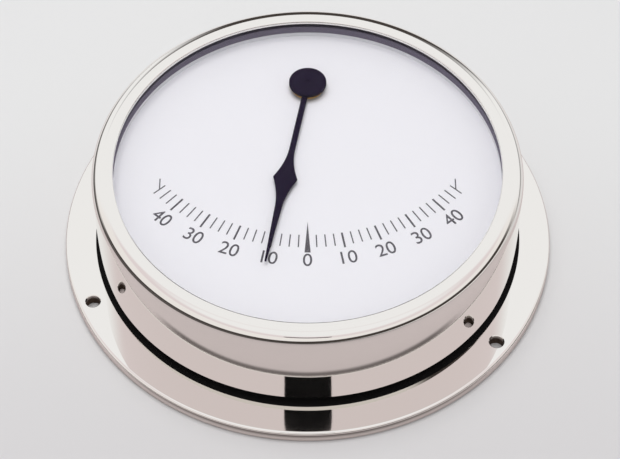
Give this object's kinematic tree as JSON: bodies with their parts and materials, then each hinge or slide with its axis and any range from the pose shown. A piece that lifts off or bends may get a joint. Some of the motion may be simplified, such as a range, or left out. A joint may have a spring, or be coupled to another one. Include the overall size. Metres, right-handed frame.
{
  "type": "clinometer",
  "caption": "Round bulkhead clinometer: an oil-damped pendulum swings a black pointer over a white fan scale in a flanged chrome case.",
  "frame": {"origin": "centre of the flange's back face, on the case axis", "axes": "+Z along the case axis out through the dial, +Y to 12 o'clock, +X to 3 o'clock; mounted on a bulkhead, +Y is up"},
  "size_m": [0.11, 0.11, 0.0265],
  "materials": {
    "polished_chrome": "mirror-polished chrome plate on brass",
    "black_rubber": "matte moulded rubber",
    "clear_glass": "clear polished mineral glass",
    "white_plastic": "satin moulded white",
    "white_dial": "fine matte white lacquer",
    "grey_ink": "pad-printed dark grey ink",
    "black_back": "black satin lacquer on steel sheet",
    "steel": "turned bright steel",
    "brass": "turned and grained brass",
    "bronze": "turned bearing bronze",
    "damper_aluminium": "turned aluminium",
    "black_pointer": "satin black lacquer",
    "black_cap": "satin black moulded plastic"
  },
  "bodies": {
    "housing": {"case": "polished_chrome", "case_gasket": "black_rubber", "bezel": "polished_chrome", "glass": "clear_glass", "glass_gasket": "black_rubber", "spacer_ring": "white_plastic", "dial": "white_dial", "scale_marks": "grey_ink", "back_cover": "black_back", "cover_screws": "steel", "mounting_posts": "steel", "movement_screws": "steel", "rear_plate": "brass", "pillars": "brass", "front_plate": "brass", "front_plate_screws": "steel", "rear_bearing": "bronze", "front_bearing": "bronze", "stop_pins": "steel", "damper_cup": "damper_aluminium", "damper_cover": "brass", "damper_screws": "steel"},
    "pendulum": {"arbor": "steel", "damper_drum": "brass", "pendulum_hub": "brass", "pendulum_arm": "brass", "bob": "brass", "bob_screws": "steel", "pointer_collet": "brass", "pointer": "black_pointer", "hub_cap": "black_cap"}
  },
  "joints": [
    {"name": "pendulum_swing", "type": "hinge", "parent": "housing", "child": "pendulum", "pos_m": [0, 0.0264, 0.01375], "axis": [0, 0, 1], "range_deg": [-39.9, 60.1]}
  ]
}
